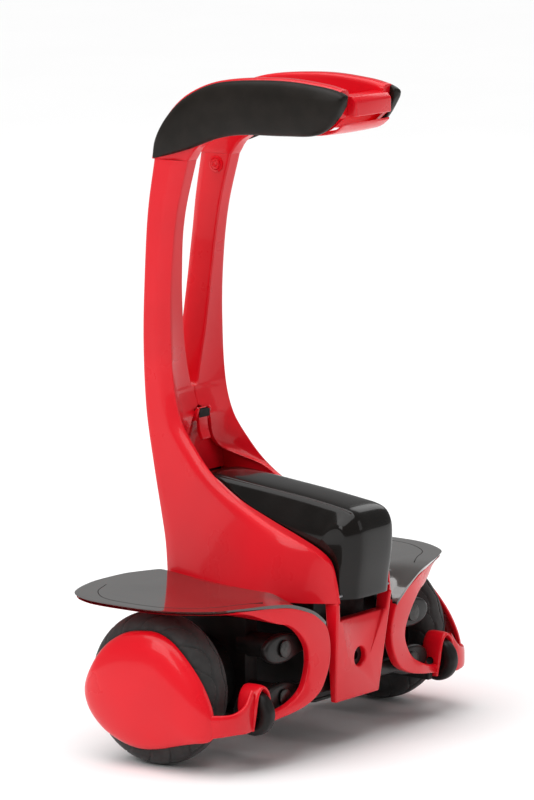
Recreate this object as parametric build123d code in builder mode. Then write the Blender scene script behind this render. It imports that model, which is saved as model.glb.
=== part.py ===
"""Stand-on two-wheel balancing scooter with a knee-high handle and a leaning parallel linkage.

Millimetres. +X is the rider's right, +Y is forward, +Z is up. The origin is on the floor,
below the middle of the wheels' axle line.
"""
from build123d import *
import os

os.makedirs("parts", exist_ok=True)

# ---------------------------------------------------------------- driving dimensions
wheel_radius = 78.0
tyre_width = 45.2
track = 380.6                 # between the middles of the two tyres
tyre_depth = 26.0             # from the rim to the tread
axle_radius = 8.0
plate_top = 165.0             # standing height
plate_thickness = 4.0
body_height = 680.0
front_reach = 132.5           # foremost point of the column
rear_reach = 132.5            # rearmost point of the battery cover
skirt_bottom = 153.0          # lower edge of the column shells
neck_height = 335.0           # above this the column is as wide as the blades
arm_rise = 90.0               # top of the blades to the top of the handle
shell_wall = 6.0
blade_inner = 28.0            # handle blades lie outside this |x|
shell_land = 1.0              # shells' inner walls stand this far off the cavity
slit_bottom = 353.0           # where the two blades meet
arm_step = 2.0                # arms lie this far inside the blades' inner faces
arm_shoulder = 4.0            # and this far inside their outer ones
pad_depth = 12.0              # grip pad, outward
pad_trim = 3.5                # arm showing above the pad
crossbar_length = 21.0        # front to back
crossbar_height = 21.0
crossbar_y = -115.5
crossbar_drop = 24.0          # below the top of the handle
cover_half_width = 41.0
cover_wall = 3.5
cover_hinge_y = -114.0
cover_hinge_z = 160.0
cover_pin_radius = 2.0
cover_pin_seat = 0.85         # the shells flare this much from their rear edges to the pin
chassis_half_width = 44.0
chassis_front = 60.0
chassis_rear = -84.0
chassis_bottom = 50.0
chassis_top = 150.0
chassis_wall = 6.0
belly_thickness = 4.0
battery_space = 3.5           # battery beside the cover's inner wall
battery_length = 120.0
battery_height = 76.0
battery_y = -42.0             # well behind the axle line, so the empty scooter leans back
controller_length = 60.0
controller_height = 28.0
bracket_thickness = 5.0
upper_pivot_height = 116.0
lower_pivot_height = 66.0
link_reach = 112.0            # centre pivot to side pivot
link_thickness = 9.0
link_hub_radius = 16.0
lobe_length = 60.0
lobe_height = 30.0
pivot_radius = 8.0
pin_radius = 6.0
pin_head = 2.5
side_member_width = 20.0
side_member_reach = 56.0      # forward and back of the axle line
side_member_bottom = 30.0
side_member_top = 143.0
boss_radius = 13.0
motor_space = 1.0             # motor inside the rim, on the radius
rim_wall = 7.0
motor_length = 38.0
ring_rear = -113.0
ring_depth = 12.0
panel_rear = -117.0
panel_bottom = 48.0
panel_step = 2.0              # panels narrower than the column
cover_bulge = 18.0            # height of the wheel cover's dome
cover_boss_radius = 12.0
caster_radius = 23.1
caster_width = 15.2
caster_inset = 29.7           # caster inboard of the wheel
caster_y = -96.4
caster_z = 59.0
caster_hub_radius = 11.0
caster_pin_radius = 4.0
fork_wall = 6.5
fork_length = 22.0
fork_bottom = 42.0
bracket_bottom = 40.0
bracket_width = 8.0
bracket_height = 10.0
button_radius = 5.8
button_y = 93.0
button_drop = 12.0            # below the tops of the blades
button_travel = 2.0
button_stand = 2.0            # button standing proud of the blade
latch_y = 84.0
latch_pin_z = 326.0
latch_pin_radius = 2.0
latch_width = 20.0
latch_length = 26.0
socket_z = 91.0
socket_radius = 8.0
socket_bore = 4.5

# ---------------------------------------------------------------- clearances
running_fit = 0.05            # shaft in hole, on the radius
press_fit = 0.02              # fixed pin in its hole, on the radius
face_gap = 0.5                # beside a face that turns
side_gap = 3.0                # foot plate beside the skirt, over the whole lean
cover_gap = 2.0               # battery cover beside the shells

# ---------------------------------------------------------------- places worked out from them
wheel_x = track / 2
rim_radius = wheel_radius - tyre_depth
motor_radius = rim_radius - rim_wall - motor_space
blade_top = body_height - arm_rise
button_z = blade_top - button_drop
crossbar_z = body_height - crossbar_drop
cavity_half_width = cover_half_width + cover_gap
battery_half_width = cover_half_width - cover_wall - battery_space
blade_outer = cavity_half_width + shell_wall + shell_land
arm_inner = blade_inner + arm_step
arm_outer = blade_outer - arm_shoulder
panel_half_width = blade_outer - panel_step
caster_x = wheel_x - caster_inset
tyre_inner_face = wheel_x - tyre_width / 2
tyre_outer_face = wheel_x + tyre_width / 2
dome_base = tyre_outer_face + 1.6
plate_bottom = plate_top - plate_thickness
rear_link_face = chassis_rear - 4.0
front_link_face = chassis_front + 4.0
ring_front = ring_rear + ring_depth
panel_front = ring_front
member_inner = link_reach - side_member_width / 2
member_outer = link_reach + side_member_width / 2
motor_end = member_outer + motor_length
pivot_heights = (upper_pivot_height, lower_pivot_height)
fork_inner = caster_x - caster_width / 2 - 1.0
fork_outer = caster_x + caster_width / 2 + 1.0
link_spans = {
    "rear": (rear_link_face - link_thickness, rear_link_face),
    "front": (front_link_face, front_link_face + link_thickness),
}


def save(piece, name):
    """Label one finished piece and write it."""
    piece.part.label = name
    export_step(piece.part, f"parts/{name}.step")


def save_pair(piece, name):
    """Write a right-hand piece and its mirror image."""
    save(piece, f"right_{name}")
    with BuildPart() as left_piece:
        mirror(piece.part, about=Plane.YZ)
    save(left_piece, f"left_{name}")


def across(x):
    """Side-view plane at x: local axes are Y and Z, extruding towards +X."""
    return Plane.YZ.offset(x)


def facing_back(y):
    """Rear-view plane at y: local axes are X and Z, extruding towards -Y."""
    return Plane.XZ.offset(-y)


# ---------------------------------------------------------------- column shells
def up_blade(share):
    """Height of a place on the blades, as a share of their length above the neck."""
    return neck_height + share * (blade_top - neck_height)


# Front and rear edges of the column in the side view, (y, z), from the skirt up.
front_edge = [(100, skirt_bottom), (104, 193), (110, 224), (120, 275), (129, 330),
              (front_reach, up_blade(0.255)), (130.5, up_blade(0.53)), (126, up_blade(0.785)),
              (117, blade_top)]
rear_edge = [(74, blade_top), (89, up_blade(0.773)), (96, up_blade(0.53)),
             (97, up_blade(0.314)), (93, slit_bottom), (83, 318), (66, 294), (42, 269), (7, 246),
             (-31, 230), (-68, 216), (-92, 206), (-106, 196), (-113, 178), (-117, skirt_bottom)]
# How far the column stands out past its blades at places along Y, from front to rear, for each
# height.
width_places = (104, 36, -34, -82, -117)
flares = {
    skirt_bottom: (0, 14, 28, 16, -3),
    190: (0, 8, 19, 12, -3),
    230: (0, 4, 10, 8, -3),
    280: (0, 2, 4, 3, -2),
    neck_height: (0, 0, 0, 0, 0),
}


def width_section(height, wall):
    """Plan section of the column at one height, drawn inside a wall."""
    inner = cavity_half_width if wall else 0
    right = [(max(blade_outer + flare - wall, inner), y)
             for flare, y in zip(flares[height], width_places)]
    left = [(-x, y) for x, y in reversed(right)]
    ahead = front_reach + 10
    behind = -rear_reach - 10
    with BuildSketch(Plane.XY.offset(height)) as section:
        with BuildLine():
            Polyline(left[-1], (left[-1][0], ahead), (right[0][0], ahead), right[0])
            Spline(*right)
            Polyline(right[-1], (right[-1][0], behind), (left[0][0], behind), left[0])
            Spline(*left)
        make_face()
    return section.sketch


with BuildPart() as cavity:
    loft([width_section(height, shell_wall) for height in flares])
    with BuildSketch(Plane.YZ):
        with BuildLine():
            front_inside = [(y - shell_wall, z) for y, z in front_edge[:6]]
            Spline(*front_inside)
            Polyline(front_inside[-1], (-200, 400), (-200, skirt_bottom), front_inside[0])
        make_face()
    extrude(amount=100, both=True, mode=Mode.INTERSECT)

with BuildPart() as column:
    loft([width_section(height, 0) for height in flares])
    with BuildSketch(Plane.XY.offset(neck_height)):
        with Locations((0, 90)):
            Rectangle(2 * blade_outer, 140)
    extrude(amount=blade_top - neck_height)
    with BuildSketch(Plane.YZ):
        with BuildLine():
            Spline(*front_edge)
            Line(front_edge[-1], rear_edge[0])
            Spline(*rear_edge)
            Line(rear_edge[-1], front_edge[0])
        make_face()
    extrude(amount=100, both=True, mode=Mode.INTERSECT)
    add(cavity.part, mode=Mode.SUBTRACT)
    with BuildSketch(facing_back(200)):
        with BuildLine():
            slit = [(4, slit_bottom), (blade_inner - 11.5, up_blade(0.255)),
                    (blade_inner - 6, up_blade(0.412)), (blade_inner, up_blade(0.725)),
                    (blade_inner, blade_top + 30)]
            Polyline(*slit, *[(-x, z) for x, z in reversed(slit)])
            ThreePointArc(slit[0], (0, slit_bottom - 4), (-4, slit_bottom))
        make_face()
    extrude(amount=400, mode=Mode.SUBTRACT)
    split(bisect_by=Plane.YZ, keep=Keep.TOP)
    with BuildSketch(across(blade_inner + shell_wall)):
        with BuildLine():
            inside_front = [(y - shell_wall, z) for y, z in front_edge[5:]]
            inside_rear = [(y + shell_wall, z) for y, z in rear_edge[:4]]
            top_front = (inside_front[-1][0], blade_top - shell_wall)
            top_rear = (inside_rear[0][0], blade_top - shell_wall)
            Polyline(inside_front[0], *inside_front[1:-1], top_front, top_rear,
                     *inside_rear[1:], (inside_rear[-1][0], neck_height - 5),
                     (inside_front[0][0] - 6, neck_height - 5), close=True)
        make_face()
    extrude(amount=blade_outer - blade_inner - 2 * shell_wall, mode=Mode.SUBTRACT)

with BuildPart() as left_column_shell:
    mirror(column.part, about=Plane.YZ)
save(left_column_shell, "left_column_shell")

with BuildPart() as right_column_shell:
    add(column.part)
    with BuildSketch(across(blade_inner)):
        with Locations((button_y, button_z)):
            Circle(button_radius + 2 * running_fit)
    extrude(amount=button_travel + 5, mode=Mode.SUBTRACT)
save(right_column_shell, "right_column_shell")

# ---------------------------------------------------------------- power button
with BuildPart() as button_bezel:
    with BuildSketch(across(blade_inner)):
        with Locations((button_y, button_z)):
            Circle(button_radius + 3)
            Circle(button_radius + 2 * running_fit, mode=Mode.SUBTRACT)
    extrude(amount=-1.4)
save(button_bezel, "button_bezel")

with BuildPart() as power_button:
    with BuildSketch(across(blade_inner - button_stand)):
        with Locations((button_y, button_z)):
            Circle(button_radius)
    extrude(amount=button_stand + 4)
    fillet(power_button.faces().sort_by(Axis.X)[0].edges(), 0.8)
save(power_button, "power_button")

# ---------------------------------------------------------------- handle
handle_top = [(y, body_height - drop) for y, drop in (
    (117, arm_rise), (112, 68), (98, 43), (72, 21), (30, 6), (-40, 0), (-100, 3.5), (-126, 9))]
handle_under = [(y, body_height - drop) for y, drop in (
    (-122, 35), (-97, 51), (-50, 56), (0, 58), (35, 63), (60, 74), (74, arm_rise))]


def handle_outline(trim):
    """Side view of a handle arm; the trim draws its upper edge in."""
    top = [(y - trim * 0.8 if y > 50 else y, z - (trim if y < 110 else 0)) for y, z in handle_top]
    under = [(y, z + trim * 0.3) for y, z in handle_under[:-1]] + [handle_under[-1]]
    Spline(*top)
    Line(top[-1], under[0])
    Spline(*under)
    Line(under[-1], top[0])


with BuildPart() as handle_arm:
    with BuildSketch(across(arm_inner)):
        with BuildLine():
            handle_outline(0)
        make_face()
    extrude(amount=arm_outer - arm_inner)
save_pair(handle_arm, "handle_arm")

with BuildPart() as grip_pad:
    with BuildSketch(across(arm_outer)):
        with BuildLine():
            handle_outline(pad_trim)
        make_face()
    extrude(amount=pad_depth)
save_pair(grip_pad, "grip_pad")

with BuildPart() as cross_bar:
    with BuildSketch(across(-arm_inner)):
        with Locations((crossbar_y, crossbar_z)):
            RectangleRounded(crossbar_length, crossbar_height, 4)
    extrude(amount=2 * arm_inner)
save(cross_bar, "cross_bar")

# ---------------------------------------------------------------- niche and latch
niche_top = neck_height - face_gap
niche_half_width = cavity_half_width
ear_inner = latch_width / 2 + face_gap

with BuildPart() as niche_panel:
    with BuildSketch(across(-niche_half_width)):
        with BuildLine():
            Polyline((latch_y + 4, niche_top), (latch_y + 9, niche_top), (latch_y + 9, 300),
                     (latch_y + 3, 268), (latch_y - 2, 268), (latch_y + 4, 300), close=True)
        make_face()
    extrude(amount=2 * niche_half_width)
    with BuildSketch(across(ear_inner)):
        with Locations((latch_y + 1, latch_pin_z)):
            Rectangle(10, 10)
    extrude(amount=4)
    with BuildSketch(across(-ear_inner)):
        with Locations((latch_y + 1, latch_pin_z)):
            Rectangle(10, 10)
    extrude(amount=-4)
    with BuildSketch(across(-ear_inner - 4)):
        with Locations((latch_y, latch_pin_z)):
            Circle(latch_pin_radius + press_fit)
    extrude(amount=2 * ear_inner + 8, mode=Mode.SUBTRACT)
save(niche_panel, "niche_panel")

with BuildPart() as latch_pin:
    with BuildSketch(across(-ear_inner - 4)):
        with Locations((latch_y, latch_pin_z)):
            Circle(latch_pin_radius)
    extrude(amount=2 * ear_inner + 8)
save(latch_pin, "latch_pin")

with BuildPart() as latch_lever:
    with BuildSketch(across(-latch_width / 2)):
        with Locations((latch_y, latch_pin_z)):
            Circle(3.6)
        with BuildLine():
            Polyline((latch_y - 3, latch_pin_z), (latch_y - 5, latch_pin_z - latch_length),
                     (latch_y - 1, latch_pin_z - latch_length), (latch_y + 3, latch_pin_z),
                     close=True)
        make_face()
        with Locations((latch_y, latch_pin_z)):
            Circle(latch_pin_radius + running_fit, mode=Mode.SUBTRACT)
    extrude(amount=latch_width)
save(latch_lever, "latch_lever")

with BuildPart() as mast_bracket:
    with BuildSketch(across(-niche_half_width)):
        with BuildLine():
            foot = chassis_top + bracket_thickness
            Polyline((chassis_front - 8, chassis_top), (88, chassis_top), (112, 322),
                     (112 - bracket_thickness, 322), (88 - bracket_thickness, foot),
                     (chassis_front - 8, foot), close=True)
        make_face()
    extrude(amount=2 * niche_half_width)
save(mast_bracket, "mast_bracket")

# ---------------------------------------------------------------- battery and its cover
hinge_barrel = 5.0
cover_front = 79.0
cover_rear = cover_hinge_y - 12


def cover_top_edge(inset):
    """Front, top and rear of the cover in the side view, drawn in by a wall."""
    rear = -rear_reach + inset
    return [(cover_front - inset, 262 - inset), (57, 267 - inset), (20, 264.5 - inset),
            (-52, 257 - inset), (-106, 250 - inset), (rear + 9, 245 - inset),
            (rear + 1.5, 236 - inset), (rear, 222), (rear + 1, 198)]


def cover_crown(inset):
    """Rear view of the cover: upright sides and a narrower top."""
    crown = [(cover_half_width - inset, 140), (cover_half_width - inset, 232 - inset / 2),
             (cover_half_width - 14 - inset / 2, 261 - inset), (cover_half_width - 21, 280)]
    return crown + [(-x, z) for x, z in reversed(crown)]


with BuildPart() as cover_hollow:
    with BuildSketch(across(-cover_half_width)):
        with BuildLine():
            under_edge = cover_top_edge(cover_wall)
            Spline(*under_edge)
            Polyline(under_edge[-1], (cover_rear + 5, cover_hinge_z + 13),
                     (cover_hinge_y + 10, cover_hinge_z + 13), (cover_hinge_y + 10, 140),
                     (cover_front - cover_wall, 140), under_edge[0])
        make_face()
    extrude(amount=2 * cover_half_width)
    with BuildSketch(facing_back(rear_reach + 10)):
        with BuildLine():
            Polyline(*cover_crown(cover_wall), close=True)
        make_face()
    extrude(amount=2 * rear_reach + 20, mode=Mode.INTERSECT)

with BuildPart() as battery_cover:
    with BuildSketch(across(-cover_half_width)):
        with BuildLine():
            top_edge = cover_top_edge(0)
            Spline(*top_edge)
            Polyline(top_edge[-1], (cover_rear, cover_hinge_z - hinge_barrel),
                     (cover_hinge_y + 12, cover_hinge_z - hinge_barrel), (cover_front, 226),
                     top_edge[0])
        make_face()
    extrude(amount=2 * cover_half_width)
    with BuildSketch(facing_back(rear_reach + 10)):
        with BuildLine():
            Polyline(*cover_crown(0), close=True)
        make_face()
    extrude(amount=2 * rear_reach + 20, mode=Mode.INTERSECT)
    add(cover_hollow.part, mode=Mode.SUBTRACT)
    with BuildSketch(across(-cover_half_width)):
        with Locations((cover_hinge_y, cover_hinge_z)):
            Circle(cover_pin_radius + running_fit)
    extrude(amount=2 * cover_half_width, mode=Mode.SUBTRACT)
save(battery_cover, "battery_cover")

with BuildPart() as cover_hinge_pin:
    pin_reach = cavity_half_width + cover_pin_seat
    with BuildSketch(across(-pin_reach)):
        with Locations((cover_hinge_y, cover_hinge_z)):
            Circle(cover_pin_radius)
    extrude(amount=2 * pin_reach)
save(cover_hinge_pin, "cover_hinge_pin")

with BuildPart() as battery_pack:
    with BuildSketch(Plane.XY.offset(chassis_top)):
        with Locations((0, battery_y)):
            RectangleRounded(2 * battery_half_width, battery_length, 6)
    extrude(amount=battery_height)
save(battery_pack, "battery_pack")

with BuildPart() as control_board:
    with BuildSketch(Plane.XY.offset(chassis_top)):
        with Locations((0, 38)):
            Rectangle(2 * battery_half_width, 22)
    extrude(amount=2)
    with BuildSketch(Plane.XY.offset(chassis_top + 2)):
        with GridLocations(20, 0, 3, 1):
            with Locations((0, 38)):
                Rectangle(12, 12)
    extrude(amount=6)
save(control_board, "control_board")

# ---------------------------------------------------------------- chassis
with BuildPart() as chassis:
    with BuildSketch(Plane.XY.offset(chassis_bottom)):
        with Locations((0, (chassis_front + chassis_rear) / 2)):
            Rectangle(2 * chassis_half_width, chassis_front - chassis_rear)
    extrude(amount=chassis_top - chassis_bottom)
    with BuildSketch(Plane.XY.offset(chassis_bottom)):
        with Locations((0, (chassis_front + chassis_rear) / 2)):
            Rectangle(2 * (chassis_half_width - chassis_wall),
                      chassis_front - chassis_rear - 2 * chassis_wall)
    extrude(amount=chassis_top - chassis_bottom - chassis_wall, mode=Mode.SUBTRACT)
    with BuildSketch(facing_back(chassis_front)):
        with Locations(*[(0, height) for height in pivot_heights]):
            Circle(pivot_radius + running_fit)
    extrude(amount=chassis_front - chassis_rear, mode=Mode.SUBTRACT)
save(chassis, "chassis")

with BuildPart() as motor_controller:
    with BuildSketch(Plane.XY.offset(lower_pivot_height + pivot_radius + side_gap)):
        with Locations((0, chassis_rear + chassis_wall + controller_length / 2)):
            Rectangle(2 * (chassis_half_width - chassis_wall), controller_length)
    extrude(amount=controller_height)
save(motor_controller, "motor_controller")

with BuildPart() as belly_pan:
    with BuildSketch(Plane.XY.offset(chassis_bottom - belly_thickness)):
        with Locations((0, (chassis_front + chassis_rear) / 2)):
            RectangleRounded(2 * chassis_half_width, chassis_front - chassis_rear, 6)
    extrude(amount=belly_thickness)
save(belly_pan, "belly_pan")

slot_bottom = 134.0
with BuildPart() as rear_panel:
    with BuildSketch(across(-panel_half_width)):
        with BuildLine():
            Polyline((panel_front, skirt_bottom), (panel_rear, skirt_bottom),
                     (panel_rear + 9, panel_bottom), (panel_front, panel_bottom), close=True)
        make_face()
    extrude(amount=2 * panel_half_width)
    with BuildSketch(facing_back(panel_front)):
        with BuildLine():
            Polyline((panel_half_width, skirt_bottom), (38, panel_bottom), (-38, panel_bottom),
                     (-panel_half_width, skirt_bottom), close=True)
        make_face()
    extrude(amount=panel_front - panel_rear, mode=Mode.INTERSECT)
    with BuildSketch(facing_back(panel_front)):
        with BuildLine():
            Polyline((cavity_half_width, skirt_bottom + 1), (cavity_half_width - 3, slot_bottom),
                     (-cavity_half_width + 3, slot_bottom), (-cavity_half_width, skirt_bottom + 1),
                     close=True)
        make_face()
        with Locations((0, socket_z)):
            Circle(socket_radius + 2)
    extrude(amount=panel_front - panel_rear, mode=Mode.SUBTRACT)
    with BuildSketch(facing_back(panel_rear + 5.5)):
        with BuildLine():
            Polyline((36, slot_bottom), (9, 68), (-9, 68), (-36, slot_bottom), close=True)
        make_face()
    extrude(amount=20, mode=Mode.SUBTRACT)
save(rear_panel, "rear_panel")

with BuildPart() as charging_socket:
    with BuildSketch(facing_back(chassis_rear)):
        with Locations((0, socket_z)):
            Circle(socket_radius)
    extrude(amount=chassis_rear - panel_front + 4)
    with BuildSketch(facing_back(panel_front)):
        with Locations((0, socket_z)):
            Circle(socket_radius + 2 - press_fit)
    extrude(amount=4)
    with BuildSketch(facing_back(panel_front + 8)):
        with Locations((0, socket_z)):
            Circle(socket_bore)
    extrude(amount=12, mode=Mode.SUBTRACT)
save(charging_socket, "charging_socket")

with BuildPart() as front_panel:
    with BuildSketch(across(-panel_half_width)):
        with BuildLine():
            Polyline((100, skirt_bottom - 1), (91, chassis_bottom), (82, chassis_bottom),
                     (90, skirt_bottom - 1), close=True)
        make_face()
    extrude(amount=2 * panel_half_width)
    with BuildSketch(facing_back(104)):
        with BuildLine():
            Polyline((panel_half_width, skirt_bottom), (38, chassis_bottom),
                     (-38, chassis_bottom), (-panel_half_width, skirt_bottom), close=True)
        make_face()
    extrude(amount=30, mode=Mode.INTERSECT)
    with BuildSketch(facing_back(92)):
        with Locations((0, socket_z)):
            Rectangle(24, 13)
    extrude(amount=92 - chassis_front)
save(front_panel, "front_panel")

# ---------------------------------------------------------------- lean linkage
for level, height in zip(("upper", "lower"), pivot_heights):
    for end, (rear_face, front_face) in link_spans.items():
        with BuildPart() as link:
            with BuildSketch(facing_back(front_face)):
                with Locations((0, height)):
                    Circle(link_hub_radius)
                    Rectangle(2 * link_reach, 17)
                with Locations((link_reach, height), (-link_reach, height)):
                    Ellipse(lobe_length / 2, lobe_height / 2)
                with Locations((link_reach, height), (-link_reach, height)):
                    Circle(pin_radius + running_fit, mode=Mode.SUBTRACT)
                with Locations((0, height)):
                    Circle(pivot_radius + press_fit, mode=Mode.SUBTRACT)
            extrude(amount=front_face - rear_face)
        save(link, f"{level}_link_{end}")
    with BuildPart() as pivot_shaft:
        with BuildSketch(facing_back(link_spans["front"][1])):
            with Locations((0, height)):
                Circle(pivot_radius)
        extrude(amount=link_spans["front"][1] - link_spans["rear"][0])
    save(pivot_shaft, f"{level}_pivot_shaft")

# ---------------------------------------------------------------- side units (right hand)
pin_places = [(link_reach, height) for height in pivot_heights]
with BuildPart() as side_member:
    with BuildSketch(across(member_inner)):
        with BuildLine():
            reach = side_member_reach
            Polyline((-reach, side_member_top), (reach, side_member_top), (reach, 60),
                     (reach - 26, side_member_bottom), (-reach + 26, side_member_bottom),
                     (-reach, 52), close=True)
        make_face()
    extrude(amount=side_member_width)
    with BuildSketch(facing_back(rear_link_face + face_gap)):
        with Locations(*pin_places):
            Circle(boss_radius)
    extrude(amount=rear_link_face + face_gap + reach - 10)
    with BuildSketch(facing_back(front_link_face - face_gap)):
        with Locations(*pin_places):
            Circle(boss_radius)
    extrude(amount=front_link_face - face_gap - reach + 10)
    with BuildSketch(facing_back(front_link_face)):
        with Locations(*pin_places):
            Circle(pin_radius + press_fit)
    extrude(amount=front_link_face - rear_link_face, mode=Mode.SUBTRACT)
save_pair(side_member, "side_member")

with BuildPart() as link_pins:
    with BuildSketch(facing_back(front_link_face + link_thickness + face_gap)):
        with Locations(*pin_places):
            Circle(pin_radius)
    extrude(amount=front_link_face - rear_link_face + 2 * (link_thickness + face_gap))
    with BuildSketch(facing_back(front_link_face + link_thickness + face_gap + pin_head)):
        with Locations(*pin_places):
            Circle(pin_radius + 3)
    extrude(amount=pin_head)
    with BuildSketch(facing_back(rear_link_face - link_thickness - face_gap)):
        with Locations(*pin_places):
            Circle(pin_radius + 3)
    extrude(amount=pin_head)
save_pair(link_pins, "link_pins")

with BuildPart() as motor_housing:
    with BuildSketch(across(member_outer)):
        with Locations((0, wheel_radius)):
            Circle(motor_radius)
    extrude(amount=motor_length)
    with BuildSketch(across(motor_end)):
        with Locations((0, wheel_radius)):
            Circle(30)
    extrude(amount=4)
    with BuildSketch(across(motor_end)):
        with Locations((0, wheel_radius)):
            Circle(axle_radius)
    extrude(amount=dome_base - motor_end)
save_pair(motor_housing, "motor_housing")


def plate_outline(margin):
    """Plan of a right-hand foot plate, drawn in by a margin."""
    m = margin
    near = blade_outer + side_gap + m
    far = wheel_x - m
    inner = [(near, 100 - m), (near + 14, 36), (near + 29, -34), (near + 31, -70),
             (near + 34, -98)]
    rim = [(132, -103 + m), (far - 18.3 + m * 0.4, -88 + m), (far + 12.7, -70 + m * 0.7),
           (far + 36.7, -29), (far + 40.7, 18), (far + 35.7, 65),
           (far + 11.7 + m * 0.4, 99 - m * 0.7), (far - 38.3 + m, 117.5 - m),
           (101, 119 - m), (66, 107 - m)]
    Spline(*inner)
    Line(inner[-1], (132, -98))
    Line((132, -98), rim[0])
    Spline(*rim)
    Line(rim[-1], inner[0])


# Outer edge of the ring in the rear view, (x, z), from the foot plate down and round.
curl_edge = [(136, plate_top - 0.4), (115, 162.5), (95, 156.5), (82, 151), (71.5, 144.5),
             (64, 137)]
ring_outer = [(136, 160.6), (114, 159), (93.5, 153), (80, 147.8), (69.8, 142), (61.7, 135),
              (55.5, 123), (53, 108), (54.5, 93), (60, 80), (70, 67), (89, 58), (111, 53),
              (fork_inner - fork_wall, 49)]
ring_inner = [(fork_inner - fork_wall, 57), (118, 62.5), (98, 72), (88, 85), (84, 100),
              (89, 117), (104, 134), (122, 143), (136, 147)]

with BuildPart() as ring:
    with BuildSketch(facing_back(ring_front)):
        with BuildLine():
            Spline(*ring_outer)
            Line(ring_outer[-1], ring_inner[0])
            Spline(*ring_inner)
            Line(ring_inner[-1], ring_outer[0])
        make_face()
    extrude(amount=ring_depth)
save_pair(ring, "ring")

with BuildPart() as foot_plate:
    with BuildSketch(Plane.XY.offset(plate_bottom)):
        with BuildLine():
            plate_outline(0)
        make_face()
    extrude(amount=plate_thickness)
    with BuildSketch(facing_back(ring_front + 3)):
        with BuildLine():
            Spline(*curl_edge)
            under = [(x - press_fit, z + press_fit * 10) for x, z in ring_outer[:6]]
            Line(curl_edge[-1], under[-1])
            Spline(*under)
            Line(under[0], curl_edge[0])
        make_face()
    extrude(amount=ring_depth + 3)
save_pair(foot_plate, "foot_plate")

with BuildPart() as plate_tray:
    with BuildSketch(Plane.XY.offset(side_member_top)):
        with BuildLine():
            plate_outline(2.5)
        make_face()
    extrude(amount=plate_bottom - side_member_top)
    with BuildSketch(facing_back(130)):
        with BuildLine():
            Polyline((30, plate_bottom), (wheel_x + 50, plate_bottom),
                     (wheel_x + 50, plate_bottom - 1.5), (164, plate_bottom - 2.5),
                     (138, side_member_top + 3), (122, side_member_top), (30, side_member_top),
                     close=True)
        make_face()
    extrude(amount=260, mode=Mode.INTERSECT)
    add(ring.part, mode=Mode.SUBTRACT)
    add(foot_plate.part, mode=Mode.SUBTRACT)
save_pair(plate_tray, "plate_tray")

# ---------------------------------------------------------------- wheels
with BuildPart() as rim:
    with BuildSketch(Plane.XY.offset(wheel_radius)):
        half = tyre_width / 2 - 2
        with Locations((wheel_x, rim_radius - rim_wall / 2)):
            Rectangle(2 * half, rim_wall)
        with Locations((wheel_x, rim_radius / 2)):
            Rectangle(12, rim_radius)
        with Locations((wheel_x, 11)):
            Rectangle(2 * half - 4, 22)
        with Locations((wheel_x, (axle_radius + running_fit) / 2)):
            Rectangle(tyre_width, axle_radius + running_fit, mode=Mode.SUBTRACT)
    revolve(axis=Axis((0, 0, wheel_radius), (1, 0, 0)))
save_pair(rim, "rim")

with BuildPart() as tyre:
    with BuildSketch(Plane.XY.offset(wheel_radius)):
        with BuildLine():
            bead = (wheel_x - half, rim_radius + press_fit)
            other_bead = (wheel_x + half, rim_radius + press_fit)
            shoulder = (wheel_x - half + 1, wheel_radius - 8)
            other_shoulder = (wheel_x + half - 1, wheel_radius - 8)
            Line(bead, other_bead)
            ThreePointArc(other_bead, (tyre_outer_face, wheel_radius - 17), other_shoulder)
            ThreePointArc(other_shoulder, (wheel_x, wheel_radius), shoulder)
            ThreePointArc(shoulder, (tyre_inner_face, wheel_radius - 17), bead)
        make_face()
    revolve(axis=Axis((0, 0, wheel_radius), (1, 0, 0)))
save_pair(tyre, "tyre")

with BuildPart() as hub_cap:
    with BuildSketch(across(wheel_x + half - 2)):
        with Locations((0, wheel_radius)):
            Circle(20)
            Circle(axle_radius + running_fit, mode=Mode.SUBTRACT)
    extrude(amount=3)
save_pair(hub_cap, "hub_cap")

# ---------------------------------------------------------------- wheel cover with caster fork
# Rim of the dome in the side view, (y, z) about the axle line: round, with a tail to the rear.
dome_rim = [(0, 63), (45, 44), (64, 0), (45, -44), (6, -59), (-40, -51), (-79, -42), (-88, -26),
            (-82, 0), (-61, 31), (-34, 55)]


def dome_section(x, scale):
    """Outline of the wheel cover at one x, scaled about the axle line."""
    with BuildSketch(across(x)) as section:
        with BuildLine():
            Spline(*[(y * scale, wheel_radius + z * scale) for y, z in dome_rim], periodic=True)
        make_face()
    return section.sketch


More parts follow.
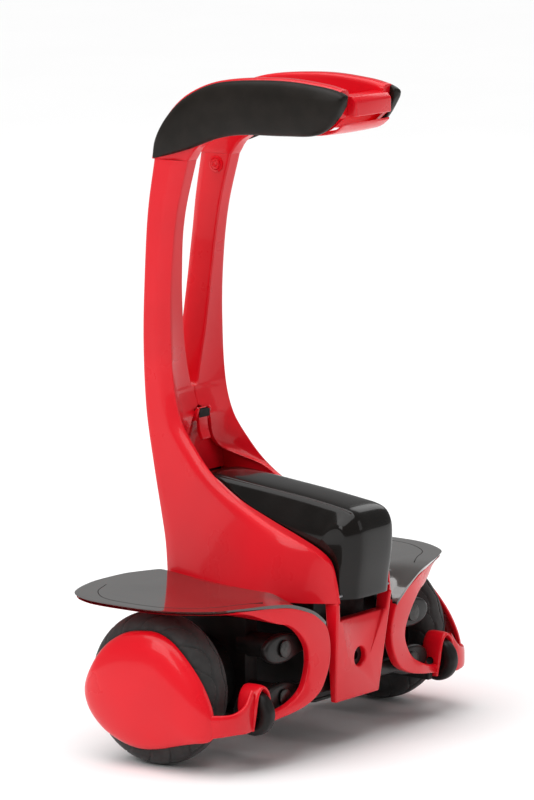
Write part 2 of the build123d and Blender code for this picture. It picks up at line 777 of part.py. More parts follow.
with BuildPart() as wheel_cover:
    loft([dome_section(dome_base, 1), dome_section(dome_base + cover_bulge * 0.55, 0.9),
          dome_section(dome_base + cover_bulge, 0.6)], ruled=True)
    loft([dome_section(dome_base, 0.94), dome_section(dome_base + cover_bulge * 0.55 - 3, 0.86),
          dome_section(dome_base + cover_bulge - 4, 0.55)], ruled=True, mode=Mode.SUBTRACT)
    with BuildSketch(across(dome_base)):
        with Locations((0, wheel_radius)):
            Circle(cover_boss_radius)
    extrude(amount=cover_bulge - 2)
    with BuildSketch(Plane.XY.offset(37)):
        with BuildLine():
            Polyline((dome_base, -64), (dome_base + 10.5, -64), (dome_base + 2.5, -84),
                     (dome_base - 15.5, -101), (fork_outer + 6, -110), (fork_outer + 6, -103),
                     (dome_base - 19.5, -95), (dome_base - 3.5, -79), close=True)
        make_face()
    extrude(amount=27)
    with BuildSketch(facing_back(caster_y + fork_length / 2)):
        with BuildLine():
            fork_crown = caster_z + caster_radius + 1.5
            legs = [(fork_inner - fork_wall, fork_bottom), (fork_inner - fork_wall, 78),
                    (fork_inner, fork_crown + 4), (fork_outer, fork_crown + 4),
                    (fork_outer + fork_wall, 78), (fork_outer + fork_wall, fork_bottom),
                    (fork_outer, fork_bottom), (fork_outer, fork_crown),
                    (fork_inner, fork_crown), (fork_inner, fork_bottom)]
            Polyline(*legs, close=True)
        make_face()
    extrude(amount=fork_length)
    with BuildSketch(across(fork_inner - fork_wall)):
        with Locations((caster_y, caster_z)):
            Circle(caster_pin_radius + press_fit)
    extrude(amount=fork_outer - fork_inner + 2 * fork_wall, mode=Mode.SUBTRACT)
save_pair(wheel_cover, "wheel_cover")

# ---------------------------------------------------------------- casters
with BuildPart() as caster_bracket:
    with BuildSketch(Plane.XY.offset(bracket_bottom)):
        with BuildLine():
            arm_face = fork_inner - fork_wall
            arm_back = arm_face - bracket_width
            Polyline((member_outer, -36), (member_outer + 12, -36), (arm_face, -62),
                     (arm_face, caster_y - 4), (arm_back, caster_y - 4), (arm_back, -66),
                     (member_outer + 4, -48), (member_outer, -48), close=True)
        make_face()
    extrude(amount=bracket_height)
save_pair(caster_bracket, "caster_bracket")

with BuildPart() as caster_pin:
    with BuildSketch(across(fork_inner - fork_wall)):
        with Locations((caster_y, caster_z)):
            Circle(caster_pin_radius)
    extrude(amount=fork_outer - fork_inner + 2 * fork_wall)
save_pair(caster_pin, "caster_pin")

caster_face = caster_x - caster_width / 2
with BuildPart() as caster_hub:
    with BuildSketch(across(caster_face)):
        with Locations((caster_y, caster_z)):
            Circle(caster_hub_radius)
            Circle(caster_pin_radius + running_fit, mode=Mode.SUBTRACT)
    extrude(amount=caster_width)
save_pair(caster_hub, "caster_hub")

with BuildPart() as caster_tyre:
    with BuildSketch(across(caster_face)):
        with Locations((caster_y, caster_z)):
            Circle(caster_radius)
    extrude(amount=caster_width)
    fillet(caster_tyre.edges(), 4)
    with BuildSketch(across(caster_face)):
        with Locations((caster_y, caster_z)):
            Circle(caster_hub_radius + press_fit)
    extrude(amount=caster_width, mode=Mode.SUBTRACT)
save_pair(caster_tyre, "caster_tyre")
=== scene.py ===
"""Looks of the stand-on balancing scooter: painted column, padded handle, pods, wheels and casters.

Every piece is modelled in millimetres in the scooter's own frame: +X is the rider's right, +Y is
forward, +Z is up, and the origin is on the floor below the axle line.
"""
import math

import bpy
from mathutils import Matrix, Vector


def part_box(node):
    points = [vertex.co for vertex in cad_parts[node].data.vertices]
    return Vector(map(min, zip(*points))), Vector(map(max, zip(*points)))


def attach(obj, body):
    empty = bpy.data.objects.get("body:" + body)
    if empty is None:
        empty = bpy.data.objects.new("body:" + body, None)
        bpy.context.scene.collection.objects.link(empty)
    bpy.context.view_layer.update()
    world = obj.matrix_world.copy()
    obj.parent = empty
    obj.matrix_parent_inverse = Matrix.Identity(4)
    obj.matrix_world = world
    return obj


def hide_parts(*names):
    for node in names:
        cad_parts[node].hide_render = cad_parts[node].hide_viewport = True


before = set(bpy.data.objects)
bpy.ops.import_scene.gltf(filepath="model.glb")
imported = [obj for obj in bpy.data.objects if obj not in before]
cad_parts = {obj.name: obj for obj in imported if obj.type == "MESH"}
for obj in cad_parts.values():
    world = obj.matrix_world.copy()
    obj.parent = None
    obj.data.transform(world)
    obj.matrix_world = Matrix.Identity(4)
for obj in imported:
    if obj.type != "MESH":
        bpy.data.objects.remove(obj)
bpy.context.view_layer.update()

bl_info = {
    "name": "Balancing scooter",
    "version": (1, 0, 0),
    "blender": (4, 5, 0),
    "location": "3D View > Sidebar > Scooter",
    "description": "Models the painted shells, grips, foot plates, wheels and linkage of a stand-on scooter",
    "category": "Object",
}

MM = 0.001
SIDES = (("right", 1), ("left", -1))
WHEEL_X, AXLE_HEIGHT = 190.3, 78
CASTER_X, CASTER_Y, CASTER_HEIGHT = 160.6, -96.4, 59
PLATE_TOP, DOME_DEPTH = 165, 18
LATCH_Y, LATCH_Z = 91, 326


# ------------------------------------------------------------------ curves and tables
def reading(table, at):
    """Value of a smooth curve through (place, value) pairs."""
    table = sorted(table)
    if at <= table[0][0]:
        return table[0][1]
    if at >= table[-1][0]:
        return table[-1][1]
    last = len(table) - 1
    i = max(k for k in range(last) if table[k][0] <= at)

    def slope(k):
        a, b = max(k - 1, 0), min(k + 1, last)
        return (table[b][1] - table[a][1]) / (table[b][0] - table[a][0])

    (x0, y0), (x1, y1) = table[i], table[i + 1]
    span = x1 - x0
    t = (at - x0) / span
    return ((2 * t**3 - 3 * t**2 + 1) * y0 + (t**3 - 2 * t**2 + t) * span * slope(i)
            + (3 * t**2 - 2 * t**3) * y1 + (t**3 - t**2) * span * slope(i + 1))


def smooth(points, count, closed=False):
    """Evenly spaced points along a smooth curve through the given ones."""
    points = [Vector(p) for p in points]
    total = len(points)
    spans = total if closed else total - 1
    dense = []
    for i in range(spans):
        if closed:
            a, b, c, d = (points[(i + k) % total] for k in (-1, 0, 1, 2))
        else:
            b, c = points[i], points[i + 1]
            a = points[i - 1] if i else 2 * b - c
            d = points[i + 2] if i + 2 < total else 2 * c - b
        for step in range(24):
            t = step / 24
            dense.append(((2 * b) + (c - a) * t + (2 * a - 5 * b + 4 * c - d) * t**2
                          + (3 * b - 3 * c + d - a) * t**3) / 2)
    dense.append(points[0] if closed else points[-1])
    return even(dense, count, closed)


def even(line, count, closed=False):
    """Evenly spaced points along a run of short straight lengths."""
    line = [Vector(p) for p in line]
    marks = [0.0]
    for a, b in zip(line, line[1:]):
        marks.append(marks[-1] + (b - a).length)
    found, k = [], 0
    for i in range(count):
        goal = marks[-1] * i / (count if closed else count - 1)
        while k < len(line) - 2 and marks[k + 1] < goal:
            k += 1
        span = marks[k + 1] - marks[k]
        found.append(line[k].lerp(line[k + 1], (goal - marks[k]) / span if span else 0))
    return found


def squared_oval(count, across, along):
    """Points round an oval one unit in radius; powers below 1 fill its corners out."""
    for k in range(count):
        c, h = math.cos(math.tau * k / count), math.sin(math.tau * k / count)
        yield math.copysign(abs(c) ** across, c), math.copysign(abs(h) ** along, h)


# ------------------------------------------------------------------ modelling steps
def deselect():
    if bpy.context.mode != "OBJECT":
        bpy.ops.object.mode_set(mode="OBJECT")
    bpy.ops.object.select_all(action="DESELECT")


def in_edit(*steps):
    """Run edit-mode steps on everything in the active piece."""
    bpy.ops.object.mode_set(mode="EDIT")
    bpy.ops.mesh.select_all(action="SELECT")
    for step in steps:
        step()
    bpy.ops.object.mode_set(mode="OBJECT")


def merge():
    bpy.ops.mesh.remove_doubles(threshold=0.00001)


def face_out():
    bpy.ops.mesh.normals_make_consistent(inside=False)


def named(name):
    piece = bpy.context.object
    piece.name = piece.data.name = name
    return piece


def modify(piece, kind, **settings):
    """Add a modifier and apply it."""
    bpy.context.view_layer.objects.active = piece
    modifier = piece.modifiers.new(kind.title(), kind)
    for key, value in settings.items():
        setattr(modifier, key, value)
    bpy.ops.object.modifier_apply(modifier=modifier.name)


def roll_edges(piece, width, segments=3, angle=30):
    modify(piece, "BEVEL", width=width * MM, segments=segments, limit_method="ANGLE",
           angle_limit=math.radians(angle), harden_normals=False)


def station(vertex, count):
    """Which point of a circle a vertex is, counted from +X."""
    return round(math.atan2(vertex.co.y, vertex.co.x) / math.tau * count) % count


def circle_through(name, places, **fill):
    """A circle of edges whose points are moved, in order, to the given places."""
    deselect()
    bpy.ops.mesh.primitive_circle_add(vertices=len(places), radius=1, **fill)
    piece = named(name)
    for vertex in piece.data.vertices:
        vertex.co = Vector(places[station(vertex, len(places))]) * MM
    return piece


def loft(name, rings, s=1):
    """Extrude a circle of edges once for each ring, set each ring's points in place, close it.

    The rings are drawn for the right side, and s is -1 for the left one.
    """
    deselect()
    count = len(rings[0])
    bpy.ops.mesh.primitive_circle_add(vertices=count, radius=1)
    piece = named(name)

    def grow():
        for _ in rings[1:]:
            bpy.ops.mesh.extrude_edges_indiv()
            bpy.ops.transform.translate(value=(0, 0, 1))

    in_edit(grow)
    for vertex in piece.data.vertices:
        x, y, z = rings[round(vertex.co.z)][station(vertex, count)]
        vertex.co = Vector((s * x, y, z)) * MM
    in_edit(lambda: bpy.ops.mesh.fill_holes(sides=0))
    in_edit(merge, face_out)
    return piece


def slab(name, outline, axis, low, high, edge=1.0, segments=3):
    """Fill an outline, extrude it along an axis and roll its edges."""
    along = "XYZ".index(axis)
    places = [(*point[:along], low, *point[along:]) for point in outline]
    piece = circle_through(name, places, fill_type="NGON")
    travel = [0, 0, 0]
    travel[along] = (high - low) * MM
    in_edit(lambda: bpy.ops.mesh.extrude_region_move(
        TRANSFORM_OT_translate={"value": travel}), lambda: bpy.ops.mesh.select_all(action="SELECT"),
        face_out)
    roll_edges(piece, edge, segments)
    return piece


def turned(name, profile, centre, steps=96):
    """Spin an (x, radius) profile about a crosswise axle."""
    centre = Vector(centre)
    piece = circle_through(name, [centre + Vector((x, radius, 0)) for x, radius in profile])
    in_edit(lambda: bpy.ops.mesh.spin(steps=steps, angle=math.tau, center=centre * MM,
                                      axis=(1, 0, 0)),
            lambda: bpy.ops.mesh.select_all(action="SELECT"), merge, face_out)
    return piece


def softened(name, node, edge, segments=2):
    """Copy a machined solid, make its flat faces whole and roll its edges."""
    deselect()
    piece = bpy.data.objects.new(name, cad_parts[node].data.copy())
    bpy.context.scene.collection.objects.link(piece)
    piece.select_set(True)
    bpy.context.view_layer.objects.active = piece
    piece.data.materials.clear()
    in_edit(merge, lambda: bpy.ops.mesh.dissolve_limited(angle_limit=math.radians(1.5)))
    roll_edges(piece, edge, segments)
    return piece


def hand_over(piece, body, finish, nodes=(), angle=35):
    """Shade a piece, give it its finish and let it ride."""
    deselect()
    piece.select_set(True)
    bpy.context.view_layer.objects.active = piece
    bpy.ops.object.shade_smooth_by_angle(angle=math.radians(angle))
    piece.data.materials.clear()
    piece.data.materials.append(finish)
    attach(piece, body)
    if nodes:
        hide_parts(*nodes)
    return piece


def join(pieces, name):
    """Join pieces into one."""
    deselect()
    for piece in pieces:
        piece.select_set(True)
    bpy.context.view_layer.objects.active = pieces[0]
    bpy.ops.object.join()
    return named(name)


# ------------------------------------------------------------------ finishes
def linear(colour):
    """Linear values of an sRGB hex colour."""
    parts = [int(colour[i:i + 2], 16) / 255 for i in (1, 3, 5)]
    return [c / 12.92 if c <= 0.04045 else ((c + 0.055) / 1.055) ** 2.4 for c in parts] + [1]


def node(finish, kind, links=None, values=None, **settings):
    """Add a shader node with its settings, values and links."""
    made = finish.node_tree.nodes.new(kind)
    for key, value in settings.items():
        setattr(made, key, value)
    for socket, value in (values or {}).items():
        made.inputs[socket].default_value = value
    for socket, source in (links or {}).items():
        finish.node_tree.links.new(source, made.inputs[socket])
    return made


def finish_called(name, **shader_values):
    """A new finish, or the one made before, with its shader's own values set."""
    if name in bpy.data.materials:
        return bpy.data.materials[name], None
    finish = bpy.data.materials.new(name)
    finish.use_nodes = True
    shader = finish.node_tree.nodes["Principled BSDF"]
    for socket, value in shader_values.items():
        shader.inputs[socket.replace("_", " ")].default_value = value
    return finish, shader


def speckle(finish, size, detail):
    """Noise over the object, with its grains a size in millimetres."""
    place = node(finish, "ShaderNodeTexCoord").outputs["Object"]
    return node(finish, "ShaderNodeTexNoise", {"Vector": place},
                {"Scale": 1 / (size * MM), "Detail": detail}).outputs["Fac"]


def two_tone(finish, shader, first, second, size, detail=3.0):
    """Drift between two colours over patches of a size in millimetres."""
    ramp = node(finish, "ShaderNodeValToRGB", {"Fac": speckle(finish, size, detail)})
    for stop, place, colour in zip(ramp.color_ramp.elements, (0.35, 0.65), (first, second)):
        stop.position = place
        stop.color = linear(colour) if isinstance(colour, str) else (*colour, 1)
    finish.node_tree.links.new(ramp.outputs["Color"], shader.inputs["Base Color"])


def grain(finish, shader, size, depth, detail=2.0, strength=1.0):
    """Raise a fine grain of a size and depth in millimetres."""
    bump = node(finish, "ShaderNodeBump", {"Height": speckle(finish, size, detail)},
                {"Strength": strength, "Distance": depth * MM})
    finish.node_tree.links.new(bump.outputs["Normal"], shader.inputs["Normal"])


def rough_patches(finish, shader, size, low, high):
    """Let the roughness wander between two values, as handling and dust leave it."""
    span = node(finish, "ShaderNodeMapRange", {"Value": speckle(finish, size, 4.0)},
                {"From Min": 0.3, "From Max": 0.7, "To Min": low, "To Max": high})
    finish.node_tree.links.new(span.outputs["Result"], shader.inputs["Roughness"])


def surface(name, tones, rough=None, skin=None, **shader_values):
    """A finish with drifting tones, patchy roughness and a fine skin, each where it has one."""
    finish, shader = finish_called(name, **shader_values)
    if shader:
        two_tone(finish, shader, *tones)
        if rough:
            rough_patches(finish, shader, *rough)
        if skin:
            grain(finish, shader, *skin)
    return finish


def painted_abs():
    """Moulded ABS sprayed red and lacquered: deep even colour under a clear, mirror-like skin."""
    colour = bpy.context.scene.scooter_body.paint
    deep = [c * 0.93 for c in colour]
    # Lacquer dries with a faint ripple about 9 mm across, which softens long reflections.
    return surface("painted_abs_red", (deep, colour, 70, 1.0), (40, 0.26, 0.36),
                   (9, 0.012, 0.0, 0.3), Roughness=0.3, IOR=1.4, Specular_IOR_Level=0.3,
                   Coat_Weight=0.3, Coat_Roughness=0.04, Coat_IOR=1.5)


def grip_foam():
    """Self-skinned foam: near-black with a low satin sheen and a fine leather-like skin."""
    # Skin grain of 1.1 mm, as fine as still shows.
    return surface("self_skinned_foam_black", ("#17130F", "#1E1915", 22), (18, 0.36, 0.46),
                   (1.1, 0.05, 3.0, 0.5), Roughness=0.42, IOR=1.4, Specular_IOR_Level=0.25)


def piano_abs():
    """Polished black ABS: a warm black that mirrors the room with hardly any texture."""
    return surface("polished_abs_black", ("#0E0B09", "#15110F", 45), (30, 0.14, 0.24),
                   (12, 0.01, 0.0, 0.3), Roughness=0.2, IOR=1.4, Specular_IOR_Level=0.2,
                   Coat_Weight=0.3, Coat_Roughness=0.04)


def smoked_acrylic():
    """Cast smoked acrylic on a dark base: a warm grey sheet with a hard, glassy top."""
    return surface("smoked_acrylic", ("#3A3532", "#45403D", 60), (25, 0.12, 0.2),
                   (14, 0.01, 0.0, 0.3), Roughness=0.16, IOR=1.49, Metallic=0.25,
                   Coat_Weight=1.0, Coat_Roughness=0.03)


def coated_casting():
    """Aluminium casting under black powder coat: dull black with a sandy grain."""
    # Powder beads of about 0.8 mm.
    return surface("powder_coated_casting", ("#12100F", "#1C1918", 12), (9, 0.38, 0.58),
                   (0.8, 0.05, 2.0, 0.6), Roughness=0.5, IOR=1.5, Specular_IOR_Level=0.25)


def black_nylon():
    """Glass-filled nylon mouldings: near-black, semi-gloss where the tool was polished."""
    return surface("moulded_nylon_black", ("#100E0D", "#1A1716", 15), (12, 0.26, 0.42),
                   (1.0, 0.02, 2.0, 0.5), Roughness=0.34, IOR=1.53, Specular_IOR_Level=0.25)


def tyre_rubber():
    """Vulcanised rubber: flat charcoal black, dusty on the crown and finely pitted."""
    return surface("vulcanised_rubber", ("#141211", "#201D1C", 9), (8, 0.6, 0.82),
                   (0.9, 0.06, 3.0, 0.6), Roughness=0.72, IOR=1.52, Sheen_Weight=0.1,
                   Sheen_Roughness=0.6)


def caster_rubber():
    """Cast polyurethane: black with a soft satin shine."""
    return surface("cast_polyurethane_black", ("#100E0D", "#1A1716", 8), (7, 0.32, 0.5),
                   (0.9, 0.03, 2.0, 0.5), Roughness=0.4, IOR=1.5, Specular_IOR_Level=0.25)


def ground_steel():
    """Ground steel with a black oxide: dark metal with a fine, even grain."""
    return surface("black_oxide_steel", ("#3A3938", "#4A4948", 5), (4, 0.28, 0.42),
                   (0.5, 0.01, 1.0, 0.4), Roughness=0.35, Metallic=1.0)


def bright_steel():
    """Ground steel left bright: pale grey metal."""
    return surface("ground_steel", ("#8E8F92", "#A6A7AA", 5), None, (0.5, 0.01, 1.0, 0.4),
                   Roughness=0.3, Metallic=1.0)


def anodised_case():
    """Anodised aluminium case: dark grey, matt and slightly metallic."""
    return surface("anodised_aluminium_grey", ("#3C3D40", "#47484B", 20), None, (0.6, 0.01),
                   Roughness=0.45, Metallic=0.8)


def solder_mask():
    """Printed circuit board: green lacquer over copper, with faint tracks."""
    finish, shader = finish_called("solder_mask_green", Roughness=0.35, IOR=1.5)
    if shader:
        place = node(finish, "ShaderNodeTexCoord").outputs["Object"]
        bricks = node(finish, "ShaderNodeTexBrick", {"Vector": place},
                      {"Scale": 1 / (6 * MM), "Color1": linear("#1F5A34"),
                       "Color2": linear("#246B3C"), "Mortar": linear("#3C8A52"),
                       "Mortar Size": 0.04})
        finish.node_tree.links.new(bricks.outputs["Color"], shader.inputs["Base Color"])
    return finish


def dark_gap():
    """Unlit joint between mouldings: matt black."""
    return surface("joint_shadow", ("#0E0C0C", "#141111", 10), Roughness=0.8)


# ------------------------------------------------------------------ settings
class ScooterBody(bpy.types.PropertyGroup):
    """Painted shells."""
    paint: bpy.props.FloatVectorProperty(
        name="Paint", description="Colour of the painted shells", subtype="COLOR", size=3,
        default=linear("#E40F20")[:3], min=0, max=1)
    dish: bpy.props.FloatProperty(
        name="Dish", description="How far the rear of the neck is hollowed, in millimetres",
        default=8.0, min=0, max=15)
    corner: bpy.props.FloatProperty(
        name="Front corner", description="Radius of the column's front corners, in millimetres",
        default=6.0, min=3, max=16)


class ScooterGrip(bpy.types.PropertyGroup):
    """Grip pads."""
    crown: bpy.props.FloatProperty(
        name="Crown", description="How far the pads stand out from the arms, in millimetres",
        default=12.0, min=6, max=16)
    squareness: bpy.props.FloatProperty(
        name="Squareness", description="2 is an oval pad section and higher is boxier",
        default=2.7, min=2, max=5)


class ScooterTread(bpy.types.PropertyGroup):
    """Tyre tread."""
    lugs: bpy.props.IntProperty(
        name="Grooves", description="Sweeping grooves round each half of a tyre", default=16,
        min=6, max=40)
    depth: bpy.props.FloatProperty(
        name="Depth", description="Depth of the grooves, in millimetres", default=1.6, min=0.3,
        max=3)


class ScooterStage(bpy.types.PropertyGroup):
    """Floor, light and camera."""
    floor: bpy.props.FloatVectorProperty(
        name="Floor", description="Colour of the floor", subtype="COLOR", size=3,
        default=linear("#FAFAFA")[:3], min=0, max=1)
    room: bpy.props.FloatProperty(
        name="Room", description="Brightness of the light from all round", default=0.28, min=0)
    ceiling: bpy.props.FloatProperty(
        name="Ceiling", description="Strength of the even light from above", default=2.5, min=0)
    key_power: bpy.props.FloatProperty(
        name="Key light", description="Power of the main soft light", default=32.0, min=0,
        unit="POWER")
    lens: bpy.props.FloatProperty(
        name="Lens", description="Focal length in millimetres", default=236.7, min=20,
        unit="CAMERA")


# ------------------------------------------------------------------ column
SKIRT, STRAIGHT, NECK, SLIT, BLADE_TOP = 153, 335, 345, 349, 589
BLADE_OUTER, CAVITY, WALL, BOWL_FLOOR = 50, 43, 6, 90
# (height, forward place) of the column's front and rear edges.
front_line = [(153, 100), (193, 104), (224, 110), (275, 120), (330, 129), (400, 132.5),
              (470, 130.5), (535, 126), (590, 117)]
rear_line = [(590, 74), (532, 89), (470, 96), (415, 97), (353, 93), (318, 83), (294, 66),
             (269, 42), (246, 7), (230, -31), (216, -68), (206, -92), (196, -106), (178, -113),
             (153, -117)]
# (height, half width) of the slit between the blades, and of the niche's arch below it.
slit_line = [(349, 0), (350, 2.6), (351, 3.8), (353, 5.2), (360, 7.4), (400, 16.5), (440, 22),
             (480, 25.5), (520, 28), (620, 28)]
arch_line = [(262, 43), (270, 41), (278, 34), (286, 26), (296, 20), (308, 17), (317, 14.5),
             (323, 10.5), (327, 5), (329, 0.4), (345, 0.2)]
# Half widths of the flared skirt at five forward places, for each height.
width_places = (-117, -82, -34, 36, 104)
width_heights = {153: (47, 66, 78, 64, 50), 190: (47, 62, 69, 58, 50), 230: (47, 58, 60, 54, 50),
                 280: (48, 53, 54, 52, 50), 335: (50, 50, 50, 50, 50)}


def half_width(y, z):
    """Half width of the column at one place of its side."""
    if z >= STRAIGHT:
        return BLADE_OUTER
    return reading([(height, reading(list(zip(width_places, row)), y))
                    for height, row in width_heights.items()], z)


def column_ring(z, hollow, dish, corner):
    """Level section of the column's right half: front, side, rear, then back along its inside."""
    front, rear = reading(front_line, z), reading(rear_line, z)
    inner = reading(slit_line, z) if z >= SLIT else 0
    lip = reading(arch_line, z) if hollow else inner
    crease = reading([(153, 1.5), (250, 2), (300, 3.5), (335, 5), (590, 5)], z)
    taper = reading([(153, 12), (300, 14), (590, 16)], z)
    roll = reading([(153, 3.5), (290, 3.5), (340, 1.4), (590, 1.4)], z)
    hollowed = dish * reading([(262, 0), (300, 0.6), (340, 1), (360, 0.8), (430, 0.15), (470, 0)], z)
    saddle = reading([(262, 0), (268, 0.1), (286, 1), (345, 1), (353, 0)], z)
    hollowed = max(hollowed, (BOWL_FLOOR - rear) * saddle)
    bowl = reading([(262, 0.5), (330, 0.8), (420, 1)], z)
    side = half_width(front - corner, z)
    ring = []
    # Front face. The blades' inner front corners are cut well back, which opens the view through the slit.
    cut = reading([(349, 0), (353, 1), (400, 4), (440, 6), (520, 9), (590, 9)], z)
    for i in range(5):
        x = inner + 0.6 * cut + (side - corner - inner - 0.6 * cut) * i / 5
        ring.append((x, front - 2 * (x / (side - corner)) ** 2))
    # Front corner, side, and the creased edge where the side meets the rear.
    for i in range(9):
        a = math.radians(90 * i / 8)
        ring.append((side - corner + corner * math.sin(a),
                     front - 2 - (corner - 2) * (1 - math.cos(a))))
    start, stop = front - corner, rear + roll
    for i in range(1, 17):
        y = start + (stop - start) * i / 16
        near = max(0, (rear + roll + taper - y) / taper)
        ring.append((half_width(y, z) - crease * near ** 1.5, y))
    edge = ring[-1][0]
    ring += [(edge - 0.3 * roll, rear + 0.3 * roll), (edge - roll, rear)]
    # Hollowed rear face, in to the lip of the niche or of the slit.
    wall = max(half_width(rear + WALL, z) - WALL, CAVITY)
    lip = min(lip, wall) if hollow else inner
    far = min(lip + 1.2, edge - roll - 1)
    for i in range(1, 7):
        x = edge - roll + (far - edge + roll) * i / 6
        across = (x - lip) / max(edge - roll - lip, 1)
        ring.append((x, rear + hollowed * (1 - min(across, 1) ** 2) ** bowl))
    base = rear + hollowed
    ring += [(lip + 0.3, base + 0.4), (lip, base + 1.5)]
    # Inside of the shell, or the blade's straight inner face.
    if hollow:
        deep = max(wall, lip)
        ring += [(lip, base + 4), (lip, base + 6), (deep, base + 7)]
        for i in range(1, 8):
            y = base + 7 + (front - WALL - base - 7) * i / 7
            ring.append((max(half_width(y, z) - WALL, CAVITY) if y < front - 8 else CAVITY, y))
        ring += [(26, front - WALL), (12, front - WALL), (0, front - WALL), (0, front - WALL / 2)]
    else:
        for i in range(1, 14):
            ring.append((inner, base + 1.5 + (front - 1 - cut - base - 1.5) * i / 13))
        ring.append((inner + 0.2 * cut, front - 0.3 - 0.45 * cut))
    return [(x, y, z) for x, y in ring]


class SCOOTER_OT_column(bpy.types.Operator):
    """Model the two halves of the painted column, from the skirt up to the tops of its blades"""
    bl_idname = "scooter.column"
    bl_label = "Column shells"

    def execute(self, context):
        body = context.scene.scooter_body
        low = [SKIRT + 3 * i for i in range(64)] + [NECK]
        high = [NECK, 347, SLIT, 350, 351, 353] + [353 + 7.9 * i for i in range(1, 30)] + [BLADE_TOP]
        rings = [column_ring(z, True, body.dish, body.corner) for z in low]
        rings += [column_ring(z, False, body.dish, body.corner) for z in high]
        for side, s in SIDES:
            shell = loft(f"{side}_column_skin", rings, s)
            if side == "right":
                # Pocket that the power button sinks into when it is pressed.
                low_corner, high_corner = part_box("power_button")
                middle = (low_corner + high_corner) / 2 / MM
                deep = high_corner.x / MM - middle.x + 2.6
                pocket = turned("button_pocket", [(-4, 0), (-4, 5.9), (deep, 5.9), (deep, 0)],
                                middle, 48)
                modify(shell, "BOOLEAN", object=pocket, operation="DIFFERENCE", solver="EXACT")
                bpy.data.objects.remove(pocket)
            hand_over(shell, "centre", painted_abs(), [f"{side}_column_shell"], 40)
        return {"FINISHED"}


# ------------------------------------------------------------------ handle
# (forward, height) of the arms' tops and undersides.
arm_top = [(117, 589), (113.5, 608), (98, 637), (72, 659), (30, 674), (-40, 680), (-92, 677),
           (-117, 672.5)]
arm_under = [(74, 589), (62, 604), (35, 617), (0, 622), (-50, 624), (-92, 628.5), (-114, 644)]


def bar_ring(top, under, inner, outer, roundness, crease):
    """Rounded section of a handle arm, its outer side drawn in by a crease near its underside."""
    top, under = Vector(top), Vector(under)
    middle, half = (top + under) / 2, (top - under) / 2
    wide, centre = (outer - inner) / 2, (outer + inner) / 2
    rise = half.length
    corner = min(roundness, wide * 0.95, rise * 0.95)
    points = []
    for quadrant, (sx, sz) in enumerate(((1, 1), (-1, 1), (-1, -1), (1, -1))):
        for step in range(6):
            a = math.radians(90 * quadrant + 90 * step / 5)
            x = centre + sx * (wide - corner) + corner * math.cos(a)
            h = sz * (rise - corner) + corner * math.sin(a)
            near = max(0, 1 - (rise + h) / 16) ** 1.5
            if x > centre:
                x -= crease * near
            place = middle + half.normalized() * h
            points.append((x, place.x, place.y))
    return points


class SCOOTER_OT_handle(bpy.types.Operator):
    """Model the red arms of the handle, the cross bar between them and the lip below it"""
    bl_idname = "scooter.handle"
    bl_label = "Handle arms and cross bar"

    def execute(self, context):
        tops, unders = smooth(arm_top, 40), smooth(arm_under, 40)
        rings = []
        for i, (top, under) in enumerate(zip(tops, unders)):
            t = i / 39
            inner = reading([(0, 28), (0.1, 28.4), (0.22, 29.6), (0.3, 30), (1, 30)], t)
            outer = reading([(0, 50), (0.08, 48.5), (0.2, 46.5), (0.3, 46), (1, 46)], t)
            roundness = reading([(0, 2), (0.25, 4), (1, 5)], t)
            crease = reading([(0, 5), (0.3, 1.5), (1, 1)], t)
            rings.append(bar_ring(top, under, inner, outer, roundness, crease))
        for side, s in SIDES:
            arm = loft(f"{side}_arm", rings, s)
            roll_edges(arm, 1.2, 2, 50)
            hand_over(arm, "centre", painted_abs(), [f"{side}_handle_arm"])
        outline = [(-105, 645.8), (-105, 666.3), (-121.5, 665.6), (-126, 661), (-126, 645.6)]
        bar = slab("cross_bar_shell", outline, "X", -30.5, 30.5, 1.6)
        hand_over(bar, "centre", painted_abs(), ["cross_bar"])
        rings = []
        for x in [-40 + 80 * i / 12 for i in range(13)]:
            sag = 2.2 * (1 - (x / 40) ** 2)
            line = smooth([(-72, 624), (-92, 625.5), (-107, 629.5), (-117, 637)], 12)
            upper = [(x, p.x, p.y + 2.6 - sag * 0.4) for p in reversed(line)]
            rings.append([(x, p.x + sag * 0.4, p.y - sag * 0.4) for p in line] + upper)
        lip = loft("handle_lip", rings)
        roll_edges(lip, 0.9, 2, 50)
        hand_over(lip, "centre", painted_abs())
        return {"FINISHED"}


